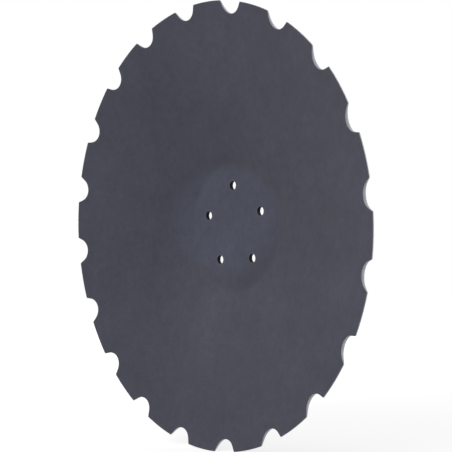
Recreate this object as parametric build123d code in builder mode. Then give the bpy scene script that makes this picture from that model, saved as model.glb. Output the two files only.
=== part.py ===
from build123d import *
import os
from math import atan, cos, degrees, radians, tan

# A notched disc harrow blade: one steel plate, blanked, pressed to a cone with a flat centre,
# punched round its rim and through its centre, and ground to an edge from behind.
# The frame is the blade's own. The origin lies at the centre of the face that seats on the hub.
# +Y is the blade's axis and leaves the convex back towards the hub, so the hollow faces -Y.
# +Z is up when the blade stands on edge, as it works, with one bolt hole straight above the centre.
# All sizes are in millimetres and all angles in degrees.

# The pressed plate
disc_diameter = 510
plate_thickness = 5
# The hollow's depth, from the plane of the rim's front edge to the front of the flat centre
dish_depth = 47
# The circle where the flat centre's front and the cone's front would meet if the crease were sharp
flat_diameter = 148
# The bend of the crease on its hollow side
crease_radius = 25

# The ground edge: the bevel's width across the back, and the narrow land that is left at the rim
bevel_width = 18
edge_land = 1.2

# The notches round the rim, each a round root whose sides open outwards in straight lines
notch_count = 20
notch_depth = 14
notch_root_radius = 15.5
notch_flare = 30
# From the top bolt hole to the notch on its left, seen from the hollow side
notch_phase = 4.2

# The bolt holes that fix the blade to its hub
bolt_count = 5
bolt_circle_diameter = 95
bolt_hole_diameter = 10.5

disc_radius = disc_diameter / 2
flat_radius = flat_diameter / 2
overall_depth = plate_thickness + dish_depth
wall_angle = degrees(atan(dish_depth / (disc_radius - flat_radius)))
top_angle = 90


def back_depth(radius):
    """The place along Y of the cone's back, before its bevel, at a radius from the axis."""
    back_crease_radius = flat_radius + plate_thickness * tan(radians(wall_angle / 2))
    return -(radius - back_crease_radius) * tan(radians(wall_angle))


def plate_section():
    """Half of the plate's section, with the radius along X and the axis along Y."""
    front_centre = (0, -plate_thickness)
    front_crease = (flat_radius, -plate_thickness)
    rim_front = (disc_radius, -overall_depth)
    rim_back = (disc_radius, -overall_depth + edge_land)
    bevel_start = (disc_radius - bevel_width, back_depth(disc_radius - bevel_width))
    back_crease = (flat_radius + plate_thickness * tan(radians(wall_angle / 2)), 0)
    back_centre = (0, 0)
    with BuildSketch(Plane.XY) as section:
        with BuildLine():
            FilletPolyline(front_centre, front_crease, rim_front, radius=crease_radius)
            Polyline(rim_front, rim_back, bevel_start)
            back_bend = crease_radius + plate_thickness
            FilletPolyline(bevel_start, back_crease, back_centre, radius=back_bend)
            Line(back_centre, front_centre)
        make_face()
    return section.sketch


def notch_outline():
    """One notch that opens along +X: an arc at its root and two tangent sides out past the rim."""
    root_centre = disc_radius - notch_depth + notch_root_radius
    side_length = notch_depth / cos(radians(notch_flare))
    with BuildSketch(Plane.XY) as outline:
        with BuildLine():
            root = CenterArc((root_centre, 0), notch_root_radius, 90 + notch_flare, 180 - 2 * notch_flare)
            left_side = PolarLine(root @ 0, side_length, notch_flare)
            right_side = PolarLine(root @ 1, side_length, -notch_flare)
            Line(left_side @ 1, right_side @ 1)
        make_face()
    return outline.sketch


section = plate_section()
notch = notch_outline()
notch_pitch = 360 / notch_count
first_notch_angle = top_angle + notch_phase

# The sketch on the hub's face looks at the blade from its hollow side, with +X to the right
with BuildPart() as disc_blade:
    add(section)
    revolve(axis=Axis.Y)
    with BuildSketch(Plane.XZ):
        with PolarLocations(0, notch_count, start_angle=first_notch_angle):
            add(notch)
        with PolarLocations(bolt_circle_diameter / 2, bolt_count, start_angle=top_angle):
            Circle(bolt_hole_diameter / 2)
    extrude(amount=2 * overall_depth, both=True, mode=Mode.SUBTRACT)

disc_blade.part.label = "disc_blade"
os.makedirs("parts", exist_ok=True)
export_step(disc_blade.part, "parts/disc_blade.step")
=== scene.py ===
import math
import bpy
import numpy as np
from mathutils import Matrix, Vector


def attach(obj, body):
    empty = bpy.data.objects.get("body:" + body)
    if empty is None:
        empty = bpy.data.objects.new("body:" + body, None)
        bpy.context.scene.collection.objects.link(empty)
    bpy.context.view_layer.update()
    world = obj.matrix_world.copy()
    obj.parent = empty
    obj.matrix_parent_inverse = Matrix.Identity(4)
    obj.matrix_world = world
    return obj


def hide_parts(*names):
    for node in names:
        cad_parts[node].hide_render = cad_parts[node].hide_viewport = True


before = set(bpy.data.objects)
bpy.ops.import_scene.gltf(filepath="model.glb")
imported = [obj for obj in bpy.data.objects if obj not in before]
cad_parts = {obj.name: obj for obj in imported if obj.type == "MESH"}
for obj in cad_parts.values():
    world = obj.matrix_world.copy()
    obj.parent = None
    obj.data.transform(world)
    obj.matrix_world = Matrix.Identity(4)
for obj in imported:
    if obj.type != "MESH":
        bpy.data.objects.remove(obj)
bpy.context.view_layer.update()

# The blade's plate. It is one disc of boron steel plate, blanked and pressed while hot, so that a
# flat centre, which seats on the hub, runs through a soft crease into a straight cone.
# Y is the axis, with the hollow towards -Y, and the back of the flat centre lies at y = 0.
rim_radius = 0.255
plate_thickness = 0.005
dish_depth = 0.047
flat_radius = 0.074
crease_radius = 0.025
wall_angle = math.atan(dish_depth / (rim_radius - flat_radius))
crease_start = flat_radius - crease_radius * math.tan(wall_angle / 2)


def plate_face(radius, bend, level):
    """Y of one face of the plate at a radius: level on the flat centre, then an arc of the bend's radius
    that turns through the wall's angle, then the straight line that leaves the arc at that angle."""
    along = np.clip(radius - crease_start, 0, bend * math.sin(wall_angle))
    arc = bend - np.sqrt(bend ** 2 - along ** 2)
    straight = np.maximum(radius - crease_start - bend * math.sin(wall_angle), 0) * math.tan(wall_angle)
    return level - arc - straight


def front_face(radius):
    """Y of the hollow side: the plate's inner face, one thickness in front of the hub's seat."""
    return plate_face(radius, crease_radius, -plate_thickness)


def back_face(radius):
    """Y of the back: the plate's outer face, cut down near the rim by the ground bevel, a straight line
    from the bevel's inner edge to the narrow land that is left at the rim."""
    plain = plate_face(radius, crease_radius + plate_thickness, 0)
    start = rim_radius - bevel_width
    start_y = plate_face(start, crease_radius + plate_thickness, 0)
    end_y = front_face(rim_radius) + edge_land
    ground = start_y + (radius - start) / bevel_width * (end_y - start_y)
    return np.where(radius > start, np.minimum(plain, ground), plain)


# The rim. Twenty notches are punched through the plate before it is pressed, each with a round root
# and straight sides that open outwards, and the teeth between them are ground from behind to an edge.
# The coat has eased every cut edge by a fraction of a millimetre.
bevel_width = 0.018
edge_land = 0.0012
notch_count = 20
notch_depth = 0.014
notch_root_radius = 0.0155
notch_flare = math.radians(30)
notch_phase = math.radians(4.2)
edge_ease = 0.00025
corner_ease = 0.00025
notch_pitch = 2 * math.pi / notch_count
root_centre = rim_radius - notch_depth + notch_root_radius
root_end = Vector((
    root_centre - notch_root_radius * math.sin(notch_flare),
    notch_root_radius * math.cos(notch_flare),
))
side_offset = root_end.x * math.sin(notch_flare) - root_end.y * math.cos(notch_flare)
root_end_turn = math.atan2(root_end.y, root_end.x)
corner_turn = notch_flare - math.asin(side_offset / rim_radius)


def outline_radius(turn):
    """Distance from the axis to the outline, at an angle from a notch's middle: the near crossing of that
    ray with the root's circle, past the root's end its crossing with the notch's side, and at most the
    rim, with the corner rounded as the smooth minimum of side and rim."""
    turn = np.abs(turn)
    half_chord = notch_root_radius ** 2 - (root_centre * np.sin(turn)) ** 2
    root = root_centre * np.cos(turn) - np.sqrt(np.maximum(half_chord, 0))
    side = side_offset / np.sin(notch_flare - turn)
    notch = np.where(turn < root_end_turn, root, side)
    return (notch + rim_radius) / 2 - np.hypot((notch - rim_radius) / 2, corner_ease)


def plate_wave(radius, angle):
    """How far the pressed plate strays from a true cone along Y: three slow waves round the wall that
    fade to nothing at the flat centre, as left by uneven cooling in the press."""
    grip = np.clip((radius - flat_radius) / (rim_radius - flat_radius), 0, 1) ** 1.5
    waves = np.sin(2 * angle + 0.7) + 0.6 * np.sin(3 * angle - 1.1) + 0.35 * np.sin(7 * angle + 2.0)
    return 0.00022 * grip * waves


# Columns of the blade's surface, one half notch pitch mirrored and repeated round the rim. They crowd
# at the root and the tooth's corner, and one falls on the line halfway between two bolt holes.
half_pitch = np.unique(np.concatenate([
    np.linspace(0, root_end_turn, 9),
    np.linspace(root_end_turn, corner_turn - math.radians(0.14), 4),
    corner_turn + np.radians([-0.06, -0.02, 0.02, 0.06, 0.14]),
    np.linspace(notch_phase, notch_pitch / 2, 5),
]))
one_pitch = np.concatenate([-half_pitch[:0:-1], half_pitch[:-1]])
first_notch = math.pi / 2 + notch_phase
turns = np.tile(one_pitch, notch_count)
angles = (first_notch + notch_pitch * np.arange(notch_count)[:, None] + one_pitch).ravel()
outline = outline_radius(turns)

# Rows of the surface, from the flat centre out over the hollow side, round the rim's edge and back in
# over the convex side to the flat centre again.
centre_radius = 0.062
band_radius = 0.234
bend_steps = crease_start + np.linspace(0, 1, 6) * (crease_radius + plate_thickness) * math.sin(wall_angle)
wall_steps = np.array([0.080, 0.085, 0.095, 0.110, 0.130, 0.150, 0.170, 0.190, 0.207, 0.220, 0.228])
plate_rows = np.concatenate([[centre_radius, 0.066, 0.069], bend_steps, wall_steps, [band_radius]])
front_band = band_radius + np.outer([0.3, 0.55, 0.75, 0.88, 0.95, 1], outline - edge_ease - band_radius)
ease_turns = np.radians([22.5, 45, 67.5, 90])
eased = outline - edge_ease + edge_ease * np.sin(ease_turns)[:, None]
ease_rise = edge_ease * (1 - np.cos(ease_turns))[:, None]
bevel_row_count = 9
bevel_rows = np.array([
    0.2535, 0.2515, 0.2490, 0.2465, 0.2440, 0.2418, 0.2395, 0.2379, 0.23725, 0.23675, 0.2360,
])
row_gap = 0.0001 + 0.00013 * np.arange(len(bevel_rows))[:, None]
back_band = np.minimum(bevel_rows[:, None], outline - edge_ease - row_gap)
back_edge = outline[None] - edge_ease
columns = np.ones(len(angles))
front_rows = np.vstack([np.outer(plate_rows, columns), front_band])
back_rows = np.vstack([back_edge, back_band, np.outer(plate_rows[::-1], columns)])
mid_wall = (front_face(outline) + back_face(outline)) / 2
radius_grid = np.vstack([front_rows, eased, outline[None], eased[::-1], back_rows])
y_grid = np.vstack([
    front_face(front_rows),
    front_face(eased) + ease_rise,
    mid_wall[None],
    back_face(eased[::-1]) - ease_rise[::-1],
    back_face(back_rows),
])
angle_grid = np.broadcast_to(angles, radius_grid.shape)
y_grid = y_grid + plate_wave(radius_grid, angle_grid)
wall_points = np.stack([radius_grid * np.cos(angle_grid), y_grid, radius_grid * np.sin(angle_grid)], axis=-1)


def grid_faces(rows, across, start=0):
    """Four corner numbers for each cell of a grid whose columns close on themselves: a point, the point
    under it in the next row, the one after that, and the point's own neighbour, so that faces point out."""
    row, column = np.meshgrid(np.arange(rows - 1), np.arange(across), indexing="ij")
    after = (column + 1) % across
    low = row * across
    corners = [low + column, low + across + column, low + across + after, low + after]
    return start + np.stack(corners, axis=-1).reshape(-1, 4)


# The bolt holes, punched through the flat centre for five M10 bolts. Each hole has its own wedge of
# the centre, drawn as rays from the hole's edge to the wedge's outline on the front and the back.
bolt_count = 5
bolt_circle_radius = 0.0475
bolt_hole_radius = 0.00525
hole_ease = 0.00015
bolt_pitch = 2 * math.pi / bolt_count
wedge_columns = len(angles) // bolt_count
side_steps = np.linspace(0, 1, 13)[1:-1]
ray_steps = np.array([0.03, 0.1, 0.22, 0.4, 0.6, 0.8, 1.0])


def hole_wedge(hole_angle):
    """Points of one wedge: rows go from its outline on the front, in to the hole's edge, through the hole
    and out again on the back, and columns follow the outline, an arc and two straight lines to the axis."""
    arc = angles[np.argsort((angles - hole_angle + bolt_pitch / 2 + 1e-6) % (2 * math.pi))][:wedge_columns]
    arc = np.append(arc, arc[0] + bolt_pitch)
    rim = centre_radius * np.stack([np.cos(arc), np.sin(arc)], axis=-1)
    outward = side_steps[:, None] * rim[0]
    inward = side_steps[::-1, None] * rim[-1]
    loop = np.vstack([rim, inward, [[0, 0]], outward])
    middle = bolt_circle_radius * np.array([math.cos(hole_angle), math.sin(hole_angle)])
    ray = loop - middle
    toward = ray / np.linalg.norm(ray, axis=1)[:, None]
    lip = bolt_hole_radius + hole_ease
    flat_rows = [middle + toward * lip * (1 - s) + ray * s for s in ray_steps[::-1]]
    ease = [middle + toward * (lip - hole_ease * math.sin(q)) for q in (0, *ease_turns)]
    plan = np.array(flat_rows + ease + ease[::-1] + flat_rows[::-1])
    drop = hole_ease * (1 - np.cos([0, *ease_turns]))
    flats = np.zeros(len(flat_rows))
    front = -plate_thickness + np.concatenate([flats, drop])
    back = -np.concatenate([drop[::-1], flats])
    level = np.concatenate([front, back])[:, None] * np.ones(len(loop))
    return np.stack([plan[..., 0], level, plan[..., 1]], axis=-1)[:, ::-1]


# The blade's skin. The wall grid and the five wedges are joined where their rows meet, so that the plate
# is one closed surface. Each point keeps its distance from the nearest cut edge, where the coat is thin,
# and its share of the way through the plate's thickness.
points = [wall_points.reshape(-1, 3)]
faces = [grid_faces(*wall_points.shape[:2])]
edge_gap = [np.maximum(outline - radius_grid, 0).ravel()]
through = np.concatenate([np.zeros(len(front_rows) + 4), [0.5], np.ones(len(back_rows) + 4)])
wall_share = [np.repeat(through, len(angles))]
row = np.arange(len(radius_grid) - 1)[:, None]
back_start = len(radius_grid) - len(back_rows)
cut_rows = (row >= len(front_rows) - 1) & (row < back_start)
ground_rows = (row >= back_start) & (row < back_start + bevel_row_count)
finish = [np.broadcast_to(np.where(cut_rows, 1, np.where(ground_rows, 2, 0)), (len(row), len(angles))).ravel()]
for hole in range(bolt_count):
    hole_angle = math.pi / 2 + hole * bolt_pitch
    wedge = hole_wedge(hole_angle)
    faces.append(grid_faces(*wedge.shape[:2], start=sum(map(len, points))))
    points.append(wedge.reshape(-1, 3))
    middle = bolt_circle_radius * np.array([math.cos(hole_angle), math.sin(hole_angle)])
    reach = np.linalg.norm(wedge[..., [0, 2]] - middle, axis=-1) - bolt_hole_radius - hole_ease
    edge_gap.append(np.maximum(reach, 0).ravel())
    wall_share.append(-wedge[..., 1].ravel() / plate_thickness)
    row = np.arange(len(wedge) - 1)
    lining = (row >= len(ray_steps)) & (row < len(wedge) - 1 - len(ray_steps))
    finish.append(np.repeat(np.where(lining, 3, 0), wedge.shape[1]))
points, faces = np.vstack(points), np.vstack(faces)
grain = np.round(points / 2e-7).astype(np.int64)
kept, same = np.unique(grain, axis=0, return_index=True, return_inverse=True)[1:]
loops = [tuple(dict.fromkeys(face)) for face in same.ravel()[faces].tolist()]
whole = np.array([len(loop) > 2 for loop in loops])
mesh = bpy.data.meshes.new("blade_plate")
mesh.from_pydata(points[kept].tolist(), [], [loop for loop in loops if len(loop) > 2])
mesh.polygons.foreach_set("material_index", np.concatenate(finish)[whole].astype(np.int32))
mesh.polygons.foreach_set("use_smooth", np.ones(len(mesh.polygons), bool))
for name, values in (("edge_gap", edge_gap), ("wall_share", wall_share)):
    layer = mesh.attributes.new(name, "FLOAT", "POINT")
    layer.data.foreach_set("value", np.concatenate(values)[kept].astype(np.float32))
mesh.update()
blade = bpy.data.objects.new("blade_plate", mesh)
bpy.context.scene.collection.objects.link(blade)
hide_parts("disc_blade")
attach(blade, "root")


# The coat. The blade is dipped in slate-blue paint and hangs to drip, so the film is satin and thin, runs
# downwards in faint streaks, and shows the mottled scale of the hot-pressed steel under it.
def add_step(material, kind, feeds, out=0, **settings):
    """One step of a finish: a shader node with its settings, and each input a number or an earlier step."""
    node = material.node_tree.nodes.new("ShaderNode" + kind)
    for name, value in settings.items():
        setattr(node, name, value)
    for name, feed in feeds.items():
        if isinstance(feed, bpy.types.NodeSocket):
            material.node_tree.links.new(feed, node.inputs[name])
        else:
            node.inputs[name].default_value = feed
    return node.outputs[out]


def patches(material, place, size, swing, detail=2.0):
    """A tone that wanders about 1 by the swing, in soft patches of one size in metres."""
    noise = add_step(material, "TexNoise", {"Vector": place, "Scale": 1 / size, "Detail": detail})
    span = {"Value": noise, "From Min": 0.3, "From Max": 0.7, "To Min": 1 - swing, "To Max": 1 + swing}
    return add_step(material, "MapRange", span)


def times(material, *tones):
    """The product of several tones."""
    product = tones[0]
    for tone in tones[1:]:
        product = add_step(material, "Math", {0: product, 1: tone}, operation="MULTIPLY")
    return product


def ramp(material, value, low, high, start=0.0, end=1.0):
    """A smooth rise from start to end while the value goes from low to high."""
    span = {"Value": value, "From Min": low, "From Max": high, "To Min": start, "To Max": end}
    return add_step(material, "MapRange", span, interpolation_type="SMOOTHSTEP")


def blend(material, share, first, second):
    """A colour that goes from the first to the second as the share goes from 0 to 1."""
    return add_step(material, "Mix", {0: share, 6: first, 7: second}, out=2, data_type="RGBA")


def new_finish(name, specular, metallic=0.0):
    """A material with its shader, and the object's own coordinates that its patterns lie on."""
    material = bpy.data.materials.new(name)
    material.use_nodes = True
    shader = material.node_tree.nodes["Principled BSDF"]
    shader.inputs["Specular IOR Level"].default_value = specular
    shader.inputs["Metallic"].default_value = metallic
    place = add_step(material, "TexCoord", {}, out="Object")
    mesh.materials.append(material)
    return material, shader, place


def wire(material, shader, colour, roughness, height, depth):
    """Feeds a finish's colour, roughness and relief, whose depth is in metres, to its shader."""
    link = material.node_tree.links.new
    link(colour, shader.inputs["Base Color"])
    link(roughness, shader.inputs["Roughness"])
    relief = add_step(material, "Bump", {"Height": height, "Distance": depth, "Strength": 1.0})
    link(relief, shader.inputs["Normal"])


cone_colour = (0.0485, 0.0485, 0.0693, 1)
centre_reflection_colour = (0.0556, 0.0622, 0.0887, 1)
bare_colour = (0.16, 0.16, 0.17, 1)
# Broad patches in the coat's tone, partly stains and partly painted light and shade: the patch to the right of
# the flat centre is painted shade that evens out the lamps' light on the hollow, the darker upper left and
# lighter lower right are painted shade and light, and the lighter patch under the centre is a painted reflection.
# Each is the middle's x and z, the reach in metres and the change in tone. In order they lie under the centre, at
# the top, at the upper left, to the right of the flat centre, at the left of the rim, at its lower right, and
# over the top bolt hole.
stains_and_painted_light = (
    (-0.05, -0.09, 0.11, 0.12),
    (0.00, 0.20, 0.15, 0.12),
    (-0.08, 0.16, 0.09, -0.12),
    (0.13, 0.00, 0.11, -0.12),
    (-0.22, 0.06, 0.12, 0.08),
    (0.20, -0.09, 0.08, 0.06),
    (0.00, 0.05, 0.06, -0.08),
)
# The bluer patch round the centre, a painted reflection of a bluish light in the flat centre, as its middle and
# its reach along each axis
reflection_middle = (-0.015, 0, 0.008)
reflection_reach = (0.088, 1, 0.062)


def coat(name, ground):
    """The painted plate. Its colour is the coat's, bluer in a soft patch round the centre that is a painted
    reflection, times tones of several sizes: wedges of painted light and shade that fan out from the axis,
    clouds, mottling, blotches, grain, streaks drawn out along the drip, and the broad patches, partly stains and
    partly painted light and shade. Bare steel shows in specks, in short scuffs and along the cut edges. A ground
    band has turned rings as well."""
    material, shader, place = new_finish(name, specular=0.22)
    flat = add_step(material, "VectorMath", {0: place, 1: (1, 0, 1)}, operation="MULTIPLY")
    radius = add_step(material, "VectorMath", {0: flat}, out="Value", operation="LENGTH")
    spoke = add_step(material, "VectorMath", {0: flat}, operation="NORMALIZE")
    drawn = add_step(material, "VectorMath", {0: place, 1: (1, 1, 0.33)}, operation="MULTIPLY")
    clouds = patches(material, place, 0.09, 0.05)
    mottle = patches(material, place, 0.03, 0.06, 3.0)
    blotches = patches(material, place, 0.008, 0.06)
    streaks = patches(material, drawn, 0.0040, 0.04, 3.0)
    grain = patches(material, place, 0.0022, 0.07)
    # The first tone is painted light and shade in wedges that fan out from the axis, as light falls along the
    # cone's straight lines
    tone = times(material, patches(material, spoke, 0.6, 0.03), clouds, mottle, blotches, streaks, grain)
    # The broad patches, partly stains and partly painted light and shade, scale the tone near their middles
    for x, z, reach, swing in stains_and_painted_light:
        away = add_step(material, "VectorMath", {0: flat, 1: (x, 0, z)}, out="Value", operation="DISTANCE")
        tone = times(material, tone, ramp(material, away, 0, reach, 1 + swing, 1))
    # The painted reflection: the coat turns bluer in a soft patch round the centre
    shifted = add_step(material, "VectorMath", {0: flat, 1: reflection_middle}, operation="SUBTRACT")
    shifted = add_step(material, "VectorMath", {0: shifted, 1: reflection_reach}, operation="DIVIDE")
    from_reflection = add_step(material, "VectorMath", {0: shifted}, out="Value", operation="LENGTH")
    outside = ramp(material, times(material, from_reflection, clouds, mottle), 0.8, 1.15)
    paint = blend(material, outside, centre_reflection_colour, cone_colour)
    paint = add_step(material, "VectorMath", {0: paint, "Scale": tone}, operation="SCALE")
    gap = add_step(material, "Attribute", {}, out="Fac", attribute_name="edge_gap")
    ragged = times(material, gap, patches(material, place, 0.004, 0.8, 3.0))
    worn = ramp(material, ragged, 0.0001, 0.0007, 0.55, 0)
    cells = {"Vector": place, "Scale": 45.0}
    speck_gap = add_step(material, "TexVoronoi", cells, out="Distance")
    speck_draw = add_step(material, "TexVoronoi", cells, out="Color")
    chosen = ramp(material, add_step(material, "SeparateColor", {0: speck_draw}), 0.86, 0.9)
    specks = times(material, ramp(material, speck_gap, 0.02, 0.045, 0.3, 0), chosen)
    scuff = add_step(material, "TexNoise", {"Vector": drawn, "Scale": 420.0, "Detail": 1.0})
    scuffed = add_step(material, "TexNoise", {"Vector": place, "Scale": 14.0, "Detail": 1.0})
    scuffs = times(material, ramp(material, scuff, 0.72, 0.8, 0, 0.25), ramp(material, scuffed, 0.55, 0.68))
    bare = add_step(material, "Math", {0: worn, 1: specks}, operation="MAXIMUM")
    bare = add_step(material, "Math", {0: bare, 1: scuffs}, operation="MAXIMUM")
    colour = blend(material, bare, paint, bare_colour)
    height = times(material, mottle, streaks, grain)
    if ground:
        turned = {"W": times(material, radius, tone), "Scale": 2600.0}
        rings = add_step(material, "TexNoise", turned, noise_dimensions="1D")
        height = times(material, height, ramp(material, rings, 0.3, 0.7, 0.9, 1.1))
    roughness = times(material, ramp(material, bare, 0, 1, 0.5, 0.38), patches(material, place, 0.012, 0.12, 3.0))
    wire(material, shader, colour, roughness, height, 0.0004)


coat("dip_coat", ground=False)


# The cut edges. The punch leaves the notches' walls and the rim's land as sheared steel: shear marks run
# through the thickness, and the last part, which tore instead of being cut, is rougher and paler.
def sheared_edge():
    """Bare steel that goes paler through the thickness, times marks drawn out along the punch's stroke."""
    material, shader, place = new_finish("cut_edge", specular=0.4, metallic=0.75)
    drawn = add_step(material, "VectorMath", {0: place, 1: (1, 0.12, 1)}, operation="MULTIPLY")
    share = add_step(material, "Attribute", {}, out="Fac", attribute_name="wall_share")
    marks = patches(material, drawn, 0.0011, 0.16, 3.0)
    stains = patches(material, place, 0.009, 0.1)
    steel = blend(material, ramp(material, share, 0.1, 0.9), (0.3, 0.3, 0.33, 1), (0.5, 0.5, 0.54, 1))
    shade = times(material, marks, stains)
    steel = add_step(material, "VectorMath", {0: steel, "Scale": shade}, operation="SCALE")
    roughness = times(material, ramp(material, share, 0.2, 0.7, 0.42, 0.6), stains)
    wire(material, shader, steel, roughness, marks, 0.0005)


sheared_edge()

# The ground bevel on the back of the rim, turned with a stone and then coated with the rest
coat("ground_bevel", ground=True)


# The holes' linings, painted dark as the shade inside the holes, over the punch's marks
def hole_lining_painted_shade():
    """A dull coat painted dark as shade inside the hole, with faint marks along the hole."""
    material, shader, place = new_finish("hole_lining_painted_shade", specular=0.12)
    drawn = add_step(material, "VectorMath", {0: place, 1: (1, 0.15, 1)}, operation="MULTIPLY")
    marks = patches(material, drawn, 0.0012, 0.2, 3.0)
    # The lining's dark colour is painted shade inside the hole
    paint = add_step(material, "VectorMath", {0: (0.011, 0.011, 0.015), "Scale": marks}, operation="SCALE")
    roughness = times(material, ramp(material, marks, 0.8, 1.2, 0.55, 0.7), patches(material, place, 0.004, 0.1))
    wire(material, shader, paint, roughness, marks, 0.0003)


hole_lining_painted_shade()


# The floor that the blade stands on with one tooth, white to the camera except for the blade's shadow,
# and the white ground behind it
floor_level = -rim_radius
floor_reach = 3.0
floor_mesh = bpy.data.meshes.new("floor")
floor_corners = [(-1, -1), (1, -1), (1, 1), (-1, 1)]
floor_points = [(floor_reach * x, floor_reach * y, floor_level) for x, y in floor_corners]
floor_mesh.from_pydata(floor_points, [], [(0, 1, 2, 3)])
floor = bpy.data.objects.new("floor", floor_mesh)
bpy.context.scene.collection.objects.link(floor)
floor_finish = bpy.data.materials.new("studio_floor")
floor_finish.use_nodes = True
floor_mesh.materials.append(floor_finish)


def seen_directly(holder):
    """1 for rays from the camera and for those that gloss and glass send on, 0 for the light's own."""
    path = holder.node_tree.nodes.new("ShaderNodeLightPath").outputs
    either = add_step(holder, "Math", {0: path["Is Camera Ray"], 1: path["Is Glossy Ray"]}, operation="MAXIMUM")
    return add_step(holder, "Math", {0: either, 1: path["Is Transmission Ray"]}, operation="MAXIMUM")


floor_shade = 0.25
near_glow = 0.75
far_glow = 0.88
floor_finish.node_tree.nodes.remove(floor_finish.node_tree.nodes["Principled BSDF"])
matt = add_step(floor_finish, "BsdfDiffuse", {"Color": (floor_shade, floor_shade, floor_shade, 1)})
floor_place = add_step(floor_finish, "TexCoord", {}, out="Object")
floor_radius = add_step(floor_finish, "VectorMath", {0: floor_place}, out="Value", operation="LENGTH")
glow_level = ramp(floor_finish, floor_radius, 0.4, 1.6, near_glow, far_glow)
glow_strength = times(floor_finish, seen_directly(floor_finish), glow_level)
glow = add_step(floor_finish, "Emission", {"Strength": glow_strength})
surface = add_step(floor_finish, "AddShader", {0: matt, 1: glow})
floor_finish.node_tree.links.new(surface, floor_finish.node_tree.nodes["Material Output"].inputs["Surface"])

world = bpy.data.worlds.new("studio")
bpy.context.scene.world = world
world.use_nodes = True
room_level = 0.65
ground_level = ramp(world, seen_directly(world), 0, 1, room_level, 1.0)
world.node_tree.links.new(ground_level, world.node_tree.nodes["Background"].inputs["Strength"])
world.node_tree.nodes["Background"].inputs["Color"].default_value = (1, 1, 1, 1)

# Two soft boxes hang above the blade: one to its left, which grazes the hollow, and one in front of it
for name, spot, size, power in (
    ("left_box", (-1.685, 0, 1.414), 1.5, 23.4),
    ("front_box", (0, -1.685, 1.414), 1.5, 27.3),
):
    lamp_data = bpy.data.lights.new(name, "AREA")
    lamp_data.size = size
    lamp_data.energy = power
    lamp = bpy.data.objects.new(name, lamp_data)
    lamp.matrix_world = Matrix.Translation(spot) @ Vector(spot).to_track_quat("Z", "Y").to_matrix().to_4x4()
    bpy.context.scene.collection.objects.link(lamp)

# The camera, where the photograph was taken from: to the blade's right, level with its centre
camera_azimuth = math.radians(48.71)
camera_elevation = math.radians(-1.69)
camera_roll = math.radians(-2.47)
camera_distance = 1.3253
aim = Vector((-0.0080, -0.0112, 0.0005))
camera_data = bpy.data.cameras.new("camera")
camera_data.lens = 90.3
camera_data.sensor_width = 36
camera = bpy.data.objects.new("camera", camera_data)
level_right = Vector((math.cos(camera_azimuth), math.sin(camera_azimuth), 0))
back = Vector((
    math.sin(camera_azimuth) * math.cos(camera_elevation),
    -math.cos(camera_azimuth) * math.cos(camera_elevation),
    math.sin(camera_elevation),
))
level_up = back.cross(level_right)
right = level_right * math.cos(camera_roll) + level_up * math.sin(camera_roll)
up = level_up * math.cos(camera_roll) - level_right * math.sin(camera_roll)
turn = Matrix((right, up, back)).transposed()
camera.matrix_world = Matrix.Translation(aim + back * camera_distance) @ turn.to_4x4()
bpy.context.scene.collection.objects.link(camera)
bpy.context.scene.camera = camera
bpy.context.scene.view_settings.view_transform = "Standard"
